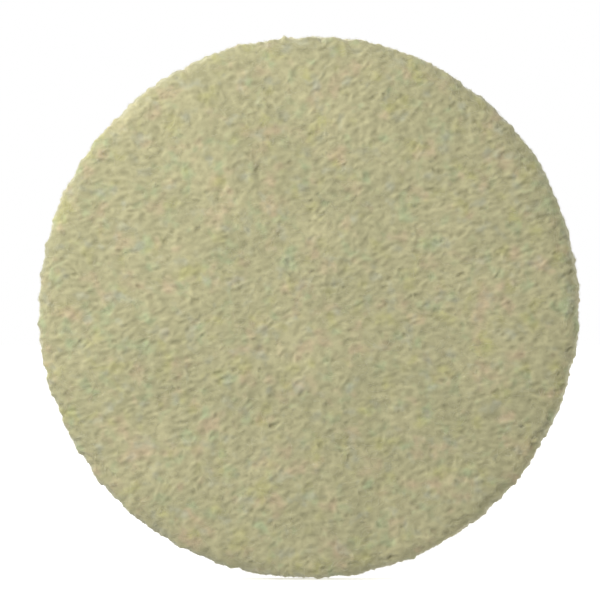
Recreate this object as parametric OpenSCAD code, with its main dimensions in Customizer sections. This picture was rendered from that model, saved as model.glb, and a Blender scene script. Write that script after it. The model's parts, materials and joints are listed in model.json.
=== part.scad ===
// Felt polishing wheel, face-mounted type: a disc of pressed wool felt on a
// double-coated adhesive tape, with a split paper release liner.
// Frame: +Z up, the wheel stands upright and spins about Y.
// The origin is the centre of the adhesive face that goes on a machine's plate.
// The felt's working face looks towards -Y and the release liner towards +Y.

/* [Felt] */
// Diameter of the felt disc
disc_d = 150; // [75:1:250]
// Thickness of the pressed felt
felt_t = 10; // [5:0.5:25]
// Radius of the soft shoulder around the working face
shoulder_r = 3.5; // [0.5:0.25:4]
// Radius of the small rounding at the bonded edge of the felt
heel_r = 0.4; // [0.1:0.1:0.8]

/* [Adhesive tape] */
// Thickness of the adhesive film that soaks into the felt
felt_adhesive_t = 0.15; // [0.05:0.01:0.4]
// Thickness of the polyester film that carries both adhesives
carrier_t = 0.05; // [0.02:0.01:0.2]
// Thickness of the adhesive film that grips the machine's plate
plate_adhesive_t = 0.1; // [0.05:0.01:0.4]
// How far the tape's rim lies inside the felt's rim
tape_inset = 0.2; // [0.05:0.05:2]

/* [Release liner] */
// Thickness of the silicone-coated paper
liner_t = 0.15; // [0.08:0.01:0.4]
// Gap left by the knife cut that splits the liner
slit_w = 0.4; // [0.1:0.05:2]
// Position of that cut across the wheel, from its centre
slit_x = 0; // [-30:1:30]

/* [Hidden] */
$fn = 180;

disc_r = disc_d / 2;
tape_r = disc_r - tape_inset;

// Depths along Y, counted from the plate-side adhesive's outer face at Y = 0
carrier_y = -plate_adhesive_t;
felt_adhesive_y = carrier_y - carrier_t;
felt_y = felt_adhesive_y - felt_adhesive_t;

// Half of the felt's cross-section: radius across, thickness up from the
// bonded face, with a quarter round cut at each outer corner.
module felt_section() {
    difference() {
        square([disc_r, felt_t]);
        translate([disc_r - shoulder_r, felt_t - shoulder_r])
            difference() {
                square(shoulder_r + 1);
                circle(r = shoulder_r);
            }
        translate([disc_r - heel_r, heel_r])
            difference() {
                translate([0, -heel_r - 1]) square(heel_r + 1);
                circle(r = heel_r);
            }
    }
}

// A round layer whose rear face lies at depth y and which is t thick
module layer(y, t) {
    translate([0, y, 0])
        rotate([90, 0, 0])
            cylinder(r = tape_r, h = t);
}

// One half of the liner: the whole round sheet, cut off at the slit.
// side is -1 for the left half and 1 for the right half.
module liner_half(side) {
    intersection() {
        layer(liner_t, liner_t);
        translate([
            side > 0 ? slit_x + slit_w / 2 : slit_x - slit_w / 2 - disc_d,
            -1,
            -disc_r
        ])
            cube([disc_d, liner_t + 2, disc_d]);
    }
}

// Pressed wool felt, turned so that its working face looks towards -Y
module felt_disc() {
    color([0.70, 0.68, 0.54])
        translate([0, felt_y, 0])
            rotate([90, 0, 0])
                rotate_extrude() felt_section();
}

// Adhesive between the felt and the carrier film
module felt_side_adhesive() {
    color([0.83, 0.76, 0.55])
        layer(felt_adhesive_y, felt_adhesive_t);
}

// Polyester film in the middle of the tape
module tape_carrier_film() {
    color([0.80, 0.84, 0.86])
        layer(carrier_y, carrier_t);
}

// Adhesive between the carrier film and the machine's plate
module plate_side_adhesive() {
    color([0.86, 0.80, 0.60])
        layer(0, plate_adhesive_t);
}

// Half of the release liner on the -X side
module release_liner_left() {
    color([0.93, 0.91, 0.85])
        liner_half(-1);
}

// Half of the release liner on the +X side
module release_liner_right() {
    color([0.93, 0.91, 0.85])
        liner_half(1);
}

felt_disc();
felt_side_adhesive();
tape_carrier_film();
plate_side_adhesive();
release_liner_left();
release_liner_right();
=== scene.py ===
"""The looks of the felt polishing wheel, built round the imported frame.

The felt is a dense closed mesh whose nap is real relief: thousands of short curled locks of fibre laid over
each other. Loose fibres stand off it in pieces of their own. The two halves of the release liner are thin
closed sheets that have cockled a little and lifted along the slit. The tape's three layers keep their CAD shape.
"""

import json
import math

import bpy
import numpy as np
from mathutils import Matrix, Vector


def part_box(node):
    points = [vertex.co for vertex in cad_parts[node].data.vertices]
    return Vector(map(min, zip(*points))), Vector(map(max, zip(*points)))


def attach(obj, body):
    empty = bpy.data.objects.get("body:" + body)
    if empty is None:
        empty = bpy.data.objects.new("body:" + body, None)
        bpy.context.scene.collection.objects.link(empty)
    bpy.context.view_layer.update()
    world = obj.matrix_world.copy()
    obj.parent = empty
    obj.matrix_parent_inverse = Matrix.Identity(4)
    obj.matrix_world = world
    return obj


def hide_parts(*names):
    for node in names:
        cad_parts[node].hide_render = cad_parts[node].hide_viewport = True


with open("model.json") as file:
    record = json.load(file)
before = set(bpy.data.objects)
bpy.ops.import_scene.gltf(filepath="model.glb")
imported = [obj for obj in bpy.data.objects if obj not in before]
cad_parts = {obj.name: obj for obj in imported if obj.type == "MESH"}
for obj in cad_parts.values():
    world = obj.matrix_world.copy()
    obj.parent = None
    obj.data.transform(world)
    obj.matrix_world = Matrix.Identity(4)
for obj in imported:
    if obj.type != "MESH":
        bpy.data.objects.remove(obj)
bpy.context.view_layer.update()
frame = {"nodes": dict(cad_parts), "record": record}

MM = 0.001
MOUNTS = {m["name"]: m for m in frame["record"]["mounts"]}

# ---------------------------------------------------------------- sizes from the frame, but for the back edge's rounding
felt_lo, felt_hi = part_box("felt_disc")
DISC_R = (felt_hi.x - felt_lo.x) / 2
FACE_Y, BACK_Y = felt_lo.y, felt_hi.y
FLAT_R = MOUNTS["working_face"]["dims"]["r_mm"] * MM
SHOULDER = DISC_R - FLAT_R
HEEL = 0.4 * MM

# ---------------------------------------------------------------- camera
# Square on to the felt, as in the photograph, with the disc a little right of and below the middle.
PIXEL = DISC_R / 270.0
CAM_Y = -1.2
cam_data = bpy.data.cameras.new("camera")
cam = bpy.data.objects.new("camera", cam_data)
bpy.context.scene.collection.objects.link(cam)
cam_data.sensor_width = 36.0
cam_data.lens = 270.0 * (FACE_Y + SHOULDER - CAM_Y) / DISC_R * 36.0 / 600.0
cam_data.clip_start, cam_data.clip_end = 0.05, 20.0
cam.location = (-8.85 * PIXEL, CAM_Y, 7.9 * PIXEL)
cam.rotation_euler = (math.radians(90), 0, 0)
bpy.context.scene.camera = cam
bpy.context.scene.view_settings.view_transform = "Standard"


# ---------------------------------------------------------------- relief fields
def smoothstep(a, b, x):
    t = np.clip((x - a) / (b - a), 0, 1)
    return t * t * (3 - 2 * t)


def shaped_noise(rng, shape, step, amplitude):
    """Noise on a grid that repeats, white noise shaped by amplitude(kx, ky) in cycles a millimetre, with mean 0 and deviation 1."""
    ky = np.fft.fftfreq(shape[0], step)[:, None]
    kx = np.fft.rfftfreq(shape[1], step)[None, :]
    f = np.fft.rfft2(rng.standard_normal(shape)) * amplitude(kx, ky)
    f[0, 0] = 0
    out = np.fft.irfft2(f, shape)
    return out / out.std()


def band(k, low, high):
    """A smooth band of wavelengths from low to high millimetres."""
    k = np.maximum(k, 1e-6)
    return np.exp(-((np.log(k * low) / 0.45).clip(0, None) ** 2)) * np.exp(
        -((np.log(1 / (k * high)) / 0.45).clip(0, None) ** 2)
    )


def blurred(field, step, sigma):
    ky = np.fft.fftfreq(field.shape[0], step)[:, None]
    kx = np.fft.rfftfreq(field.shape[1], step)[None, :]
    return np.fft.irfft2(
        np.fft.rfft2(field) * np.exp(-2 * (math.pi * sigma) ** 2 * (kx**2 + ky**2)),
        field.shape,
    )


def locks(rng, shape, step, count, length, width, angle, spread, wild, curl, rise):
    """Height of short curled locks of fibre laid over each other on a grid that repeats, in millimetres.

    angle and spread are the lie of the nap in degrees, and wild is the share of locks that lie any way."""
    grid = np.full(shape[0] * shape[1], -1.0)
    t = np.linspace(-1, 1, 27)[None, :, None]
    c = np.linspace(-1, 1, 9)[None, None, :]
    for start in range(0, count, 3000):
        n = min(3000, count - start)
        x = rng.uniform(0, shape[1] * step, n)[:, None, None]
        y = rng.uniform(0, shape[0] * step, n)[:, None, None]
        a = np.where(
            rng.random(n) < wild,
            rng.uniform(0, math.pi, n),
            np.radians(rng.normal(angle, spread, n)),
        )[:, None, None]
        half = (rng.lognormal(0, 0.35, n) * length / 2)[:, None, None]
        w = (rng.lognormal(0, 0.3, n) * width / 2)[:, None, None]
        k = (rng.normal(0, curl, n))[:, None, None]
        base = rng.uniform(-0.5, 0.5, n)[:, None, None]
        peak = (rng.uniform(0.55, 1.0, n) * rise)[:, None, None]
        s = t * half
        turn = a + k * s
        taper = np.sqrt(np.clip(1 - t * t, 0, 1))
        px = x + s * np.cos(a + k * s / 2) - c * w * taper * np.sin(turn)
        py = y + s * np.sin(a + k * s / 2) + c * w * taper * np.cos(turn)
        h = base + peak * (1 - c * c) * taper - 0.25 * np.abs(t)
        at = (np.round(py / step).astype(np.int64) % shape[0]) * shape[1] + (
            np.round(px / step).astype(np.int64) % shape[1]
        )
        np.maximum.at(grid, at.ravel(), np.broadcast_to(h, at.shape).ravel())
    return grid.reshape(shape)


def sampled(field, step, x, y):
    """Bilinear reading of a repeating field at x, y in millimetres."""
    u, v = x / step, y / step
    i, j = np.floor(u).astype(int), np.floor(v).astype(int)
    fu, fv = u - i, v - j
    rows, cols = field.shape
    i0, i1, j0, j1 = i % cols, (i + 1) % cols, j % rows, (j + 1) % rows
    return (
        field[j0, i0] * (1 - fu) * (1 - fv)
        + field[j0, i1] * fu * (1 - fv)
        + field[j1, i0] * (1 - fu) * fv
        + field[j1, i1] * fu * fv
    )


def sliding_norm(field, step, low, high):
    """field with the wavelengths under low and over high millimetres taken out, deviation 1."""
    ky = np.fft.fftfreq(field.shape[0], step)[:, None]
    kx = np.fft.rfftfreq(field.shape[1], step)[None, :]
    k = np.hypot(kx, ky)
    keep = np.exp(-((k * low) ** 2) / 2) * (1 - np.exp(-((k * high) ** 2) / 2))
    out = np.fft.irfft2(np.fft.rfft2(field) * keep, field.shape)
    return out / out.std()


# ---------------------------------------------------------------- mesh building
def make_mesh(name, co, faces, smooth=True):
    """A mesh object from an array of points and a list of face index arrays, each array holding faces of one size."""
    me = bpy.data.meshes.new(name)
    me.vertices.add(len(co))
    me.vertices.foreach_set("co", np.ascontiguousarray(co, np.float32).ravel())
    loops = np.concatenate([f.ravel() for f in faces]).astype(np.int32)
    sizes = np.concatenate([np.full(len(f), f.shape[1], np.int32) for f in faces])
    starts = np.concatenate([[0], np.cumsum(sizes)[:-1]]).astype(np.int32)
    me.loops.add(len(loops))
    me.loops.foreach_set("vertex_index", loops)
    me.polygons.add(len(sizes))
    me.polygons.foreach_set("loop_start", starts)
    me.polygons.foreach_set("use_smooth", np.full(len(sizes), smooth))
    me.update(calc_edges=True)
    me.validate()
    ob = bpy.data.objects.new(name, me)
    bpy.context.scene.collection.objects.link(ob)
    return ob


def store(ob, name, values):
    layer = ob.data.attributes.new(name, "FLOAT", "POINT")
    layer.data.foreach_set("value", np.ascontiguousarray(values, np.float32))


# ---------------------------------------------------------------- the felt
RINGS = 128  # over the flat face; ring k holds 8k points
AROUND = 8 * RINGS
rng = np.random.default_rng(20260)

STEP = 0.15
GRID = (1200, 1200)
tufts = locks(rng, GRID, STEP, 34000, 4.4, 1.35, 16, 17, 0.28, 0.2, 1.0)
tufts = sliding_norm(blurred(tufts, STEP, 0.15), STEP, 0.36, 4.4)
LIE = math.radians(18)
nubs = shaped_noise(
    rng,
    GRID,
    STEP,
    lambda kx, ky: band(
        np.hypot(
            1.5 * (kx * math.cos(LIE) + ky * math.sin(LIE)),
            ky * math.cos(LIE) - kx * math.sin(LIE),
        ),
        2.55,
        3.6,
    )
    / np.maximum(np.hypot(kx, ky), 1e-3),
)
tufts = 0.74 * tufts + 0.67 * nubs
waves = shaped_noise(
    rng,
    GRID,
    STEP,
    lambda kx, ky: band(np.hypot(kx, ky), 9, 40) / np.maximum(np.hypot(kx, ky), 1e-3),
)
STRATA = (96, 3142)
strata = shaped_noise(
    rng,
    STRATA,
    STEP,
    lambda kx, ky: band(np.hypot(kx * 7, ky), 0.9, 2.6)
    + 0.35 * band(np.hypot(kx, ky), 1.2, 3.0),
)


def ring_noise(rng, count, low, high, slope):
    """A closed outline's departure from round, at count points: waves low to high a turn, deviation 1."""
    a = np.arange(count) * 2 * math.pi / count
    out = np.zeros(count)
    for k in range(low, high):
        out += rng.normal() * k**-slope * np.cos(k * a + rng.uniform(0, 2 * math.pi))
    return out / out.std()


slow = ring_noise(rng, AROUND, 2, 12, 1.0)
rough = shaped_noise(
    rng,
    STRATA,
    STEP,
    lambda kx, ky: band(np.hypot(kx, ky * 1.4), 2.0, 14)
    / np.maximum(np.hypot(kx, ky * 1.4), 1e-3) ** 1.1,
)


def nicks(angles, depths, width):
    """Small notches in the rim at some angles, in degrees round from +X towards +Z."""
    a = np.arange(AROUND) * 360 / AROUND
    out = np.zeros(AROUND)
    for at, depth in zip(angles, depths):
        d = (a - at + 180) % 360 - 180
        out -= depth * np.exp(-((d / width) ** 2))
    return out


notches = nicks((203, 217, 330, 170, 52, 118, 284), (0.6, 0.5, 0.6, 0.4, 0.3, 0.4, 0.4), 0.8)


def outline(angle, depth):
    """How far the cut rim stands out from round at an angle and a depth, in millimetres."""
    deep = (depth - FACE_Y) / MM
    at = np.round(angle / (2 * math.pi) * AROUND).astype(int) % AROUND
    leaning = np.round(at + 0.9 * (deep - 5) * np.sin(11 * angle)).astype(int) % AROUND
    round_mm = angle / (2 * math.pi) * (STRATA[1] * STEP)
    return 0.20 * slow[at] + 0.26 * sampled(rough, STEP, round_mm, deep) + notches[leaning]


# the profile beyond the flat face: how far along the surface, radius, depth, and the way the surface looks
arc_n, side_n, heel_n = 12, 12, 2
profile = []
for i in range(1, arc_n + 1):
    a = math.pi / 2 * i / arc_n
    profile.append(
        (
            FLAT_R + SHOULDER * a,
            FLAT_R + SHOULDER * math.sin(a),
            FACE_Y + SHOULDER * (1 - math.cos(a)),
            math.sin(a),
            -math.cos(a),
        )
    )
wall = BACK_Y - HEEL - (FACE_Y + SHOULDER)
for i in range(1, side_n + 1):
    profile.append(
        (
            FLAT_R + SHOULDER * math.pi / 2 + wall * i / side_n,
            DISC_R,
            FACE_Y + SHOULDER + wall * i / side_n,
            1.0,
            0.0,
        )
    )
for i in range(1, heel_n + 1):
    a = math.pi / 2 * i / heel_n
    profile.append(
        (
            FLAT_R + SHOULDER * math.pi / 2 + wall + HEEL * a,
            DISC_R - HEEL * (1 - math.cos(a)),
            BACK_Y - HEEL * (1 - math.sin(a)),
            math.cos(a),
            math.sin(a),
        )
    )

rho, rad, dep, nr, ny, phi = [np.zeros(1)], [np.zeros(1)], [np.full(1, FACE_Y)], [np.zeros(1)], [-np.ones(1)], [np.zeros(1)]
first = [0]
total = 1
for k in range(1, RINGS + 1):
    n = 8 * k
    r = FLAT_R * k / RINGS
    for store_in, value in zip((rho, rad, dep, nr, ny), (r, r, FACE_Y, 0.0, -1.0)):
        store_in.append(np.full(n, value))
    phi.append(np.arange(n) * 2 * math.pi / n)
    first.append(total)
    total += n
for p in profile:
    for store_in, value in zip((rho, rad, dep, nr, ny), p):
        store_in.append(np.full(AROUND, value))
    phi.append(np.arange(AROUND) * 2 * math.pi / AROUND)
    first.append(total)
    total += AROUND
front_count = total
rho, rad, dep, nr, ny, phi = map(np.concatenate, (rho, rad, dep, nr, ny, phi))

# the relief along the surface's own direction, in millimetres
ux, uz = rho * np.cos(phi) / MM + 90, rho * np.sin(phi) / MM + 90
nap = sampled(tufts, STEP, ux, uz)
swell = sampled(waves, STEP, ux, uz)
around = phi * DISC_R / MM
depth_mm = (dep - FACE_Y) / MM
layers = sampled(strata, STEP, around * (STRATA[1] * STEP) / (2 * math.pi * DISC_R / MM), depth_mm)
on_side = smoothstep(0.55, 0.98, nr)
at_heel = smoothstep(-1.2 * MM, -0.2 * MM, dep - BACK_Y) * smoothstep(0.5, 0.99, rad / DISC_R)
NAP_MM = 0.109
relief = (1 - on_side) * (nap * NAP_MM + swell * 0.10) + on_side * (
    layers * 0.055 + nap * 0.03
)
# the face falls away a little before the shoulder starts
relief -= 0.36 * (1 - on_side) * smoothstep(FLAT_R - 5 * MM, FLAT_R + 2 * MM, rad)
relief *= 1 - at_heel
edge = outline(phi, dep) * smoothstep(FLAT_R * 0.97, DISC_R * 0.995, rad) * (1 - 0.8 * at_heel)

r_out = rad + (relief * nr + edge) * MM
y_out = dep + relief * ny * MM
front = np.stack([r_out * np.cos(phi), y_out, r_out * np.sin(phi)], 1)

tris, quads = [], []
j = np.arange(8)
tris.append(np.stack([np.zeros(8, int), 1 + j, 1 + (j + 1) % 8], 1))
for k in range(1, RINGS):
    inner, outer = first[k], first[k + 1]
    n_in, n_out = 8 * k, 8 * (k + 1)
    s = np.arange(8)[:, None]
    q = np.arange(k + 1)[None, :]
    a = inner + (s * k + q) % n_in
    b = outer + (s * (k + 1) + q) % n_out
    c = outer + (s * (k + 1) + q + 1) % n_out
    tris.append(np.stack([a, b, c], -1).reshape(-1, 3))
    q = np.arange(k)[None, :]
    a = inner + (s * k + q) % n_in
    b = outer + (s * (k + 1) + q + 1) % n_out
    c = inner + (s * k + q + 1) % n_in
    tris.append(np.stack([a, b, c], -1).reshape(-1, 3))
i = np.arange(AROUND)
for m in range(RINGS, RINGS + len(profile)):
    a, b = first[m], first[m + 1]
    quads.append(np.stack([a + i, b + i, b + (i + 1) % AROUND, a + (i + 1) % AROUND], 1))

# the bonded back, closed with fewer and fewer points
co = [front]
last, n = first[-1], AROUND
for r in (0.973, 0.93, 0.85, 0.70, 0.46, 0.21):
    n //= 2
    a = np.arange(n) * 2 * math.pi / n
    co.append(
        np.stack([r * DISC_R * np.cos(a), np.full(n, BACK_Y), r * DISC_R * np.sin(a)], 1)
    )
    i = np.arange(n)
    a0, a1, a2 = last + 2 * i, last + 2 * i + 1, last + (2 * i + 2) % (2 * n)
    b0, b1 = total + i, total + (i + 1) % n
    tris += [
        np.stack([a0, b0, a1], 1),
        np.stack([a1, b0, b1], 1),
        np.stack([a1, b1, a2], 1),
    ]
    last = total
    total += n
co.append(np.array([[0.0, BACK_Y, 0.0]]))
i = np.arange(n)
tris.append(np.stack([last + i, np.full(n, total), last + (i + 1) % n], 1))
total += 1
felt = make_mesh("felt", np.concatenate(co), [np.concatenate(tris), np.concatenate(quads)])
height = np.zeros(total)
height[:front_count] = (1 - on_side) * nap + on_side * (0.6 * layers + 0.4 * nap)
store(felt, "nap", height)
side_share = np.ones(total)
side_share[:front_count] = on_side
store(felt, "side", side_share)
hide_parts("felt_disc")
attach(felt, "felt_and_tape")


# ---------------------------------------------------------------- loose fibres on the felt
def on_felt(s, angle):
    """Points on the felt at a distance s along its surface from the middle of the face, with the surface's own
    direction and the direction along it, outwards. s is in metres."""
    a = np.clip((s - FLAT_R) / SHOULDER, 0, math.pi / 2)
    past = np.clip(s - FLAT_R - SHOULDER * math.pi / 2, 0, None)
    radius = np.where(s < FLAT_R, s, FLAT_R + SHOULDER * np.sin(a))
    depth = FACE_Y + SHOULDER * (1 - np.cos(a)) + past
    out_n, out_y = np.sin(a), -np.cos(a)
    side_part = smoothstep(0.55, 0.98, out_n)
    bump = sampled(tufts, STEP, s * np.cos(angle) / MM + 90, s * np.sin(angle) / MM + 90)
    high = (1 - side_part) * bump * NAP_MM + side_part * 0.03 * bump
    high -= 0.36 * (1 - side_part) * smoothstep(FLAT_R - 5 * MM, FLAT_R + 2 * MM, radius)
    ring = outline(angle, depth) * smoothstep(FLAT_R * 0.97, DISC_R * 0.995, radius)
    radius = radius + (high * out_n + ring) * MM
    depth = depth + high * out_y * MM
    cs, sn = np.cos(angle), np.sin(angle)
    point = np.stack([radius * cs, depth, radius * sn], 1)
    normal = np.stack([out_n * cs, out_y, out_n * sn], 1)
    outwards = np.stack([-out_y * cs, out_n, -out_y * sn], 1)
    return point, normal, outwards


PARTS = 6


def fibres(name, rng, s, angle, lie, long_mm, lift, thick_mm):
    """Single wool fibres: thin tapered closed tubes that curl over the nap, one piece for all. Half of them are
    loops with both ends in the felt, and the rest have a free end. lie is each one's direction at its root, from
    outwards (0) towards growing angle."""
    n = len(s)
    length = long_mm * rng.lognormal(0, 0.35, n).clip(0.4, 1.9) * MM
    rise = lift * rng.uniform(0.4, 1.6, n)
    loop = rng.random(n) < 0.5
    bend = rng.normal(0, 0.9, n)
    wave, pitch, start = rng.uniform(0.1, 0.8, n), rng.uniform(0.7, 1.6, n), rng.uniform(0, 2 * math.pi, n)
    thick = (thick_mm * rng.uniform(0.7, 1.3, n) / 2 * MM)[:, None]
    s, angle, turned = s.copy(), angle.copy(), np.zeros(n)
    rings = []
    for k in range(PARTS + 1):
        t = k / PARTS
        at, up, out = on_felt(s, angle)
        across = np.cross(up, out)
        heading = lie + bend * t + wave * np.sin(2 * math.pi * pitch * t + start) - turned
        ahead = out * np.cos(heading)[:, None] + across * np.sin(heading)[:, None]
        beside = np.cross(up, ahead)
        high = np.where(loop, rise * 4 * t * (1 - t), rise * (1.7 * t - 0.7 * t * t)) - 0.04
        mid = at + up * high[:, None] * MM
        if k < PARTS:
            share = (0.85, 1.0, 1.0, 0.95, 0.85, 0.65)[k]
            for j in range(3):
                a = math.pi / 2 + 2 * math.pi * j / 3
                rings.append(mid + (beside * math.cos(a) + up * math.sin(a)) * thick * share)
        else:
            rings.append(mid)
        radius = np.hypot(at[:, 0], at[:, 2]).clip(1 * MM)
        d_angle = np.sin(heading) * length / PARTS / radius
        # a straight line on the flat face turns against the way out as it goes round
        turned += d_angle * -up[:, 1].clip(-1, 0)
        s = np.abs(s + np.cos(heading) * length / PARTS).clip(0, S_END)
        angle = (angle + d_angle) % (2 * math.pi)
    co = np.stack(rings, 1).reshape(-1, 3)
    f = [(0, 2, 1)]
    for band_at in range(0, 3 * PARTS - 3, 3):
        for k in range(3):
            a, b = band_at + k, band_at + (k + 1) % 3
            f += [(a, b, b + 3), (a, b + 3, a + 3)]
    last_ring = 3 * PARTS - 3
    for k in range(3):
        f.append((last_ring + k, last_ring + (k + 1) % 3, 3 * PARTS))
    each = 3 * PARTS + 1
    faces = (np.arange(n)[:, None, None] * each + np.array(f)[None]).reshape(-1, 3)
    ob = make_mesh(name, co, [faces])
    store(ob, "tone", np.repeat(rng.random(n), each))
    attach(ob, "felt_and_tape")
    return ob


rng = np.random.default_rng(77)
S_END = FLAT_R + SHOULDER * math.pi / 2 + wall
count = 5200
s = FLAT_R * np.sqrt(rng.random(count))
angle = rng.uniform(0, 2 * math.pi, count)
way = np.where(
    rng.random(count) < 0.4, rng.uniform(0, 2 * math.pi, count), np.radians(rng.normal(14, 28, count))
) + math.pi * rng.integers(0, 2, count)
face_fibres = fibres("felt_face_fibres", rng, s, angle, way - angle, 2.8, 0.10, 0.042)
count = 5200
s = FLAT_R - 1 * MM + rng.random(count) * (S_END - FLAT_R + 1 * MM)
angle = rng.uniform(0, 2 * math.pi, count)
way = math.pi / 2 * (2 * rng.integers(0, 2, count) - 1) + rng.normal(0, 0.7, count)
rim_fibres = fibres("felt_rim_fibres", rng, s, angle, way, 2.4, 0.34, 0.042)


# ---------------------------------------------------------------- the liner halves
def liner(name, node, side, seed):
    """One half of the release liner: a closed thin sheet, flat on the adhesive except where the paper has
    cockled and lifted along the slit and here and there at the rim."""
    rng = np.random.default_rng(seed)
    lo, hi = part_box(node)
    thick = hi.y - lo.y
    radius = max(abs(lo.x), abs(hi.x))
    edge_x = min(abs(lo.x), abs(hi.x))
    cols, rows = 84, 150
    z_tip = math.sqrt(radius**2 - edge_x**2)
    t = np.linspace(-1, 1, rows + 1)
    z = z_tip * np.sin(t * math.pi / 2)
    wide = np.sqrt(np.clip(radius**2 - z**2, edge_x**2, None))
    s = np.linspace(0, 1, cols + 1)
    s = 0.5 * (s + (1 - np.cos(math.pi * s)) / 2)
    x = edge_x + s[None, :] * (wide - edge_x)[:, None]
    zz = np.repeat(z[:, None], cols + 1, 1)
    # lift off the adhesive, in millimetres
    cockle = shaped_noise(
        rng, (160, 160), 1.0, lambda kx, ky: band(np.hypot(kx * 0.6, ky), 14, 45)
    )
    along = shaped_noise(rng, (1, 400), 1.0, lambda kx, ky: band(np.hypot(kx, ky), 18, 90))[0]
    u, v = x / MM, zz / MM + 80
    flat = sampled(cockle, 1.0, u, v)
    lift_line = 0.26 + 0.12 * np.interp(v[:, 0], np.arange(400), along)
    lift = lift_line[:, None].clip(0.05, None) * np.exp(-(((x - edge_x) / (5.5 * MM)) ** 1.3))
    rim_gap = radius - np.hypot(x, zz)
    rim_line = np.interp(
        np.arctan2(zz, x) / math.pi * 180 + 200, np.arange(400), np.roll(along, 130)
    )
    lift += 0.16 * rim_line.clip(0, None) * np.exp(-rim_gap / (4.0 * MM))
    lift += (
        0.055
        * (flat - flat.min())
        * smoothstep(0, 6 * MM, x - edge_x)
        * smoothstep(0, 8 * MM, rim_gap)
    )
    corner = np.hypot(x - edge_x, zz - z_tip * (1 if side > 0 else -1))
    lift += 1.3 * np.exp(-((corner / (9.0 * MM)) ** 1.6))
    y = lo.y + lift * MM
    near = np.stack([side * x, y, zz], -1).reshape(-1, 3)
    far = near + np.array([0, thick, 0])
    n = len(near)
    idx = np.arange(n).reshape(rows + 1, cols + 1)
    a, b, c, d = idx[:-1, :-1], idx[:-1, 1:], idx[1:, 1:], idx[1:, :-1]
    cells = np.stack([a, b, c, d], -1).reshape(-1, 4)
    loop = np.concatenate([idx[0, :-1], idx[:-1, -1], idx[-1, :0:-1], idx[:0:-1, 0]])
    nxt = np.roll(loop, -1)
    walls = np.stack([nxt, loop, loop + n, nxt + n], 1)
    faces = [cells, cells[:, ::-1] + n, walls]
    if side < 0:
        faces = [f[:, ::-1] for f in faces]
    ob = make_mesh(name, np.concatenate([near, far]), faces)
    # the cut edges stay crisp
    me = ob.data
    ends = set(loop.tolist()) | set((loop + n).tolist())
    pair = np.zeros(len(me.edges) * 2, np.int32)
    me.edges.foreach_get("vertices", pair)
    pair = pair.reshape(-1, 2)
    ring = {frozenset(p) for p in zip(loop.tolist(), nxt.tolist())}
    ring |= {frozenset((p + n, q + n)) for p, q in zip(loop.tolist(), nxt.tolist())}
    sharp = np.array([p in ends and q in ends and frozenset((p, q)) in ring for p, q in pair.tolist()])
    layer = me.attributes.new("sharp_edge", "BOOLEAN", "EDGE")
    layer.data.foreach_set("value", sharp)
    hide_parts(node)
    return ob


liner_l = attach(liner("liner_paper_left", "release_liner_left", -1, 41), "liner_left")
liner_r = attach(liner("liner_paper_right", "release_liner_right", 1, 42), "liner_right")


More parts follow.
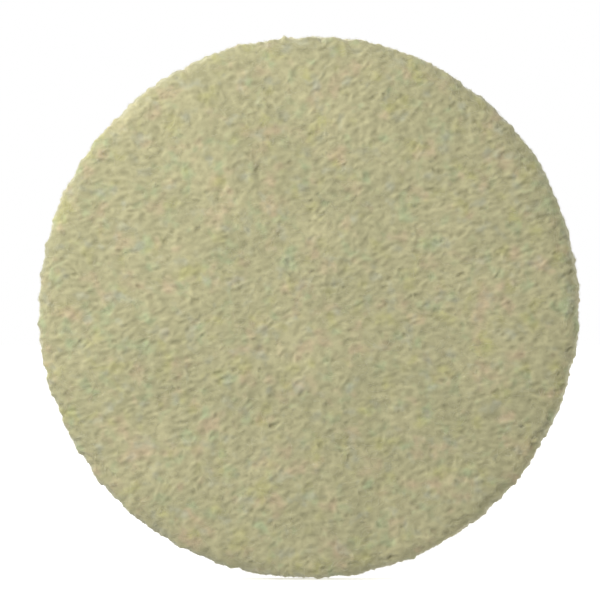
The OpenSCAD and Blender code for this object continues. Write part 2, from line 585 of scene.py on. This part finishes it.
# ---------------------------------------------------------------- materials
class Nodes:
    """Shorthand for building one material's node tree."""

    def __init__(self, name):
        self.mat = bpy.data.materials.new(name)
        self.mat.use_nodes = True
        self.nt = self.mat.node_tree
        self.shader = self.nt.nodes["Principled BSDF"]
        self.coord = self.add("ShaderNodeTexCoord").outputs["Object"]

    def add(self, kind, **settings):
        node = self.nt.nodes.new(kind)
        for k, v in settings.items():
            setattr(node, k, v)
        return node

    def put(self, socket, value):
        if isinstance(value, bpy.types.NodeSocket):
            self.nt.links.new(value, socket)
        else:
            socket.default_value = value

    def math(self, operation, a, b=0.0, clamp=False):
        node = self.add("ShaderNodeMath", operation=operation, use_clamp=clamp)
        self.put(node.inputs[0], a)
        self.put(node.inputs[1], b)
        return node.outputs[0]

    def vmath(self, operation, a, b):
        node = self.add("ShaderNodeVectorMath", operation=operation)
        self.put(node.inputs[0], a)
        self.put(node.inputs[1], b)
        return node.outputs[0]

    def noise(self, coord, size, detail=2.0, rough=0.5, offset=(0, 0, 0), colour=False):
        """Noise whose features are about size metres across, from 0 to 1."""
        node = self.add("ShaderNodeTexNoise")
        self.put(node.inputs["Vector"], self.vmath("ADD", coord, offset))
        node.inputs["Scale"].default_value = 1 / size
        node.inputs["Detail"].default_value = detail
        node.inputs["Roughness"].default_value = rough
        return node.outputs["Color" if colour else "Fac"]

    def turned(self, coord, degrees):
        node = self.add("ShaderNodeVectorRotate", rotation_type="Y_AXIS")
        self.put(node.inputs["Vector"], coord)
        node.inputs["Angle"].default_value = math.radians(degrees)
        return node.outputs[0]

    def span(self, value, low, high, to_low=0.0, to_high=1.0, smooth=False):
        node = self.add("ShaderNodeMapRange")
        node.clamp = True
        if smooth:
            node.interpolation_type = "SMOOTHSTEP"
        for key, v in zip(("Value", "From Min", "From Max", "To Min", "To Max"), (value, low, high, to_low, to_high)):
            self.put(node.inputs[key], v)
        return node.outputs[0]

    def mix(self, fac, a, b, blend="MIX"):
        node = self.add("ShaderNodeMix", data_type="RGBA", blend_type=blend)
        self.put(node.inputs[0], fac)
        for socket, v in ((node.inputs[6], a), (node.inputs[7], b)):
            if isinstance(v, tuple):
                v = (*v[:3], 1.0)
            self.put(socket, v)
        return node.outputs[2]

    def bump(self, height, distance, strength=1.0, normal=None):
        node = self.add("ShaderNodeBump")
        self.put(node.inputs["Height"], height)
        node.inputs["Distance"].default_value = distance
        node.inputs["Strength"].default_value = strength
        if normal is not None:
            self.put(node.inputs["Normal"], normal)
        return node.outputs[0]

    def attribute(self, name):
        return self.add("ShaderNodeAttribute", attribute_name=name).outputs["Fac"]

    def set(self, **values):
        for k, v in values.items():
            self.put(self.shader.inputs[k.replace("_", " ")], v)

    def fibres(self, coord, degrees, along, across, offset):
        """Thin wavy lines lying one way, from 0 to 1, bright along each fibre."""
        c = self.turned(coord, degrees)
        c = self.vmath("MULTIPLY", c, (across / along, 1.0, 1.0))
        n = self.noise(c, across, 1.0, 0.5, offset)
        n = self.math("ABSOLUTE", self.math("SUBTRACT", n, 0.5))
        return self.span(n, 0.0, 0.16, 1.0, 0.0, smooth=True)


def felt_material():
    """Pressed wool felt: uneven cream and olive wool, with painted shade between the locks and painted light on their
    tops, fine crossing fibres.
    """
    m = Nodes("pressed_wool_felt")
    nap, side = m.attribute("nap"), m.attribute("side")
    warp = m.vmath(
        "MULTIPLY",
        m.vmath("SUBTRACT", m.noise(m.coord, 0.004, 2.0, colour=True), (0.5, 0.5, 0.5)),
        (0.0022, 0.0022, 0.0022),
    )
    c = m.vmath("ADD", m.coord, warp)
    lines = None
    for degrees, along, offset in (
        (27, 0.0030, (1.3, 0, 0)),
        (-24, 0.0022, (0, 2.1, 0)),
        (68, 0.0020, (0, 0, 3.7)),
        (118, 0.0024, (4.9, 1.0, 0)),
    ):
        f = m.fibres(c, degrees, along, 0.00034, offset)
        lines = f if lines is None else m.math("MAXIMUM", lines, f)
    cloud = m.noise(m.coord, 0.016, 3.0, 0.55, (0.31, 0.0, 0.7))
    colour = m.mix(m.span(cloud, 0.3, 0.7), (0.497, 0.474, 0.266), (0.622, 0.581, 0.333))
    drift = m.noise(m.coord, 0.0085, 1.0, 0.5, (6.1, 2.0, 0.4))
    colour = m.mix(m.span(drift, 0.3, 0.7, 0, 0.60), colour, (0.486, 0.466, 0.270))
    # the blend of wools: a little green, pink, blue-grey and straw in soft patches
    for size, offset, tone in (
        (0.0055, (2.0, 5.0, 0.2), (0.465, 0.562, 0.316)),
        (0.0062, (7.0, 1.0, 4.0), (0.660, 0.512, 0.330)),
        (0.0050, (0.4, 3.0, 8.0), (0.500, 0.514, 0.384)),
        (0.0068, (5.0, 9.0, 1.0), (0.565, 0.547, 0.220)),
    ):
        patch = m.noise(m.coord, size, 2.0, 0.5, offset)
        colour = m.mix(m.span(patch, 0.53, 0.78, 0, 0.66, smooth=True), colour, tone)
    # painted shade and light: the colour darkens where the nap is low, between the locks, and lightens on their tops
    shade = m.span(nap, -2.2, 2.4, 0.80, 1.14)
    fine = m.span(lines, 0.0, 1.0, 0.90, 1.07)
    plies = m.noise(m.vmath("MULTIPLY", c, (0.14, 1.0, 0.14)), 0.0011, 2.0, 0.6, (0, 6.0, 2.0))
    cut = m.math("MULTIPLY", m.span(plies, 0.3, 0.7, -0.07, 0.08), side)
    both = m.math("MULTIPLY", m.math("MULTIPLY", shade, fine), m.math("ADD", cut, 1.0))
    level = m.add("ShaderNodeCombineColor")
    for k in range(3):
        m.put(level.inputs[k], both)
    colour = m.mix(1.0, colour, level.outputs[0], "MULTIPLY")
    grain = m.noise(c, 0.00055, 3.0, 0.6, (9.0, 0, 0))
    normal = m.bump(m.math("ADD", m.math("MULTIPLY", lines, 0.5), grain), 0.00008, 0.8)
    m.set(
        Base_Color=colour,
        Roughness=m.span(lines, 0.0, 1.0, 0.97, 0.86),
        Normal=normal,
        IOR=1.45,
        Sheen_Weight=0.8,
        Sheen_Roughness=0.5,
    )
    m.shader.inputs["Specular IOR Level"].default_value = 0.22
    m.shader.inputs["Sheen Tint"].default_value = (0.98, 0.96, 0.80, 1)
    return m.mat


def fibre_material():
    """Single wool fibres: paler than the mass of the felt, each its own shade of cream, straw or grey."""
    m = Nodes("wool_fibres")
    tone = m.attribute("tone")
    wide = m.noise(m.coord, 0.006, 2.0, 0.5, (3.0, 0, 1.0))
    colour = m.mix(tone, (0.640, 0.618, 0.405), (0.860, 0.840, 0.630))
    colour = m.mix(m.span(wide, 0.4, 0.7, 0, 0.4), colour, (0.740, 0.735, 0.500))
    m.set(Base_Color=colour, Roughness=0.8, IOR=1.5, Sheen_Weight=1.0, Sheen_Roughness=0.6)
    m.shader.inputs["Specular IOR Level"].default_value = 0.3
    m.shader.inputs["Sheen Tint"].default_value = (0.98, 0.96, 0.80, 1)
    return m.mat


def paper_material():
    """Silicone-coated release paper: off-white, cloudy with fibres, with a dull sheen."""
    m = Nodes("release_paper")
    cloud = m.noise(m.coord, 0.0045, 4.0, 0.6)
    wide = m.noise(m.coord, 0.03, 2.0, 0.5, (3.0, 1.0, 2.0))
    warp = m.vmath(
        "MULTIPLY",
        m.vmath("SUBTRACT", m.noise(m.coord, 0.006, 2.0, colour=True), (0.5, 0.5, 0.5)),
        (0.004, 0.004, 0.004),
    )
    c = m.vmath("ADD", m.coord, warp)
    hair = None
    for degrees, along, offset in (
        (8, 0.0035, (2.0, 0, 0)),
        (52, 0.0030, (0, 0, 6.0)),
        (103, 0.0026, (5.0, 0, 1.0)),
        (151, 0.0032, (1.0, 7.0, 0)),
    ):
        f = m.fibres(c, degrees, along, 0.0007, offset)
        hair = f if hair is None else m.math("MAXIMUM", hair, f)
    colour = m.mix(m.span(cloud, 0.3, 0.7), (0.770, 0.725, 0.610), (0.880, 0.845, 0.745))
    colour = m.mix(m.span(wide, 0.35, 0.7, 0, 0.35), colour, (0.830, 0.775, 0.635))
    colour = m.mix(m.math("MULTIPLY", hair, 0.16), colour, (0.640, 0.590, 0.480))
    normal = m.bump(cloud, 0.00003, 0.6, m.bump(m.noise(m.coord, 0.0006, 2.0, 0.5), 0.000012, 0.5))
    m.set(
        Base_Color=colour,
        Roughness=m.span(cloud, 0.3, 0.7, 0.30, 0.46),
        Normal=normal,
        IOR=1.46,
        Coat_Weight=0.25,
        Coat_Roughness=0.28,
    )
    return m.mat


def adhesive_material(name, light, dark):
    """Acrylic adhesive over felt: glossy, a little wavy, with the felt's mottle showing through it."""
    m = Nodes(name)
    mottle = m.noise(m.coord, 0.0022, 3.0, 0.6)
    wide = m.noise(m.coord, 0.011, 3.0, 0.55, (4.0, 0, 1.0))
    specks = m.noise(m.coord, 0.0011, 1.0, 0.5, (0, 8.0, 0))
    colour = m.mix(m.span(mottle, 0.32, 0.68), dark, light)
    colour = m.mix(m.span(wide, 0.35, 0.7, 0, 0.4), colour, (0.620, 0.560, 0.370))
    colour = m.mix(m.span(specks, 0.66, 0.76, 0, 0.7), colour, (0.700, 0.660, 0.500))
    normal = m.bump(wide, 0.00025, 0.5, m.bump(mottle, 0.00005, 0.6))
    m.set(
        Base_Color=colour,
        Roughness=m.span(mottle, 0.3, 0.7, 0.16, 0.30),
        Normal=normal,
        IOR=1.47,
    )
    return m.mat


def film_material():
    """The polyester film's edge: pale, clear-looking and smooth, with faint drawing lines."""
    m = Nodes("polyester_film")
    wide = m.noise(m.coord, 0.009, 2.0, 0.5)
    lines = m.noise(m.vmath("MULTIPLY", m.coord, (1.0, 1.0, 14.0)), 0.006, 2.0, 0.5)
    colour = m.mix(m.span(wide, 0.35, 0.65), (0.560, 0.585, 0.560), (0.655, 0.680, 0.665))
    m.set(
        Base_Color=colour,
        Roughness=m.span(lines, 0.3, 0.7, 0.10, 0.20),
        Normal=m.bump(lines, 0.00001, 0.4),
        IOR=1.57,
    )
    return m.mat


def dress(ob, mat):
    ob.data.materials.clear()
    ob.data.materials.append(mat)


dress(felt, felt_material())
wool = fibre_material()
dress(face_fibres, wool)
dress(rim_fibres, wool)
paper = paper_material()
dress(liner_l, paper)
dress(liner_r, paper)
dress(frame["nodes"]["plate_side_adhesive"], adhesive_material("plate_side_acrylic", (0.575, 0.520, 0.325), (0.480, 0.430, 0.255)))
dress(frame["nodes"]["felt_side_adhesive"], adhesive_material("felt_side_acrylic", (0.560, 0.500, 0.300), (0.450, 0.400, 0.230)))
dress(frame["nodes"]["tape_carrier_film"], film_material())


# ---------------------------------------------------------------- floor, light
def area(name, place, aim, size, watts, colour=(1, 1, 1), ratio=1.0):
    data = bpy.data.lights.new(name, "AREA")
    data.shape = "RECTANGLE"
    data.size, data.size_y = size, size * ratio
    data.energy = watts
    data.color = colour
    ob = bpy.data.objects.new(name, data)
    ob.location = place
    ob.rotation_euler = (Vector(aim) - Vector(place)).to_track_quat("-Z", "Y").to_euler()
    ob.visible_camera = False
    bpy.context.scene.collection.objects.link(ob)
    return ob


key_far, key_tilt, key_turn = 0.55, math.radians(50), math.radians(143)
key_at = (
    key_far * math.sin(key_tilt) * math.cos(key_turn),
    FACE_Y - key_far * math.cos(key_tilt),
    key_far * math.sin(key_tilt) * math.sin(key_turn),
)
area("key", key_at, (0, FACE_Y, 0), 0.22, 2.09, (0.99, 0.985, 1.0))
area("rear_fill", (-0.62, 0.62, 0.55), (0, 0, 0), 0.45, 6.0, (1.0, 0.99, 0.97))
area("right_fill", (0.85, 0.40, 0.12), (0, 0, 0), 0.5, 3.2, (1.0, 1.0, 1.0))

# light back off the pale table, on to the underside and the cut edge only
area("table_bounce", (0.22, 0.16, -0.5), (0, FACE_Y, 0), 0.5, 0.9, (1.0, 1.0, 0.99))

world = bpy.data.worlds.new("studio")
bpy.context.scene.world = world
world.use_nodes = True
wn = world.node_tree
background = wn.nodes["Background"]
background.inputs["Color"].default_value = (1, 1, 1, 1)
seen = wn.nodes.new("ShaderNodeLightPath").outputs["Is Camera Ray"]
level = wn.nodes.new("ShaderNodeMapRange")
wn.links.new(seen, level.inputs["Value"])
level.inputs["To Min"].default_value = 0.405
level.inputs["To Max"].default_value = 1.0
wn.links.new(level.outputs[0], background.inputs["Strength"])

# the felt stands on it; a few loose fibres are pressed into it
floor_z = float(front[:, 2].min())
floor = make_mesh(
    "floor",
    np.array([[-6, -6, floor_z], [6, -6, floor_z], [6, 6, floor_z], [-6, 6, floor_z]], float),
    [np.array([[0, 1, 2, 3]])],
)
fm = Nodes("pale_floor")
fm.set(
    Base_Color=fm.mix(fm.noise(fm.coord, 0.05, 2.0), (0.80, 0.80, 0.80), (0.82, 0.82, 0.82)),
    Roughness=0.9,
)
fm.shader.inputs["Specular IOR Level"].default_value = 0.0
fm.shader.inputs["Emission Color"].default_value = (1, 1, 1, 1)
# it glows a little more with distance, as a lit studio cove does, so that it meets the white behind it with no edge
far = fm.add("ShaderNodeVectorMath", operation="LENGTH")
fm.put(far.inputs[0], fm.coord)
fm.put(
    fm.shader.inputs["Emission Strength"],
    fm.span(far.outputs["Value"], 0.12, 0.75, 0.52, 1.0, smooth=True),
)
dress(floor, fm.mat)
floor.visible_diffuse = False
floor.visible_glossy = False
floor.visible_shadow = False
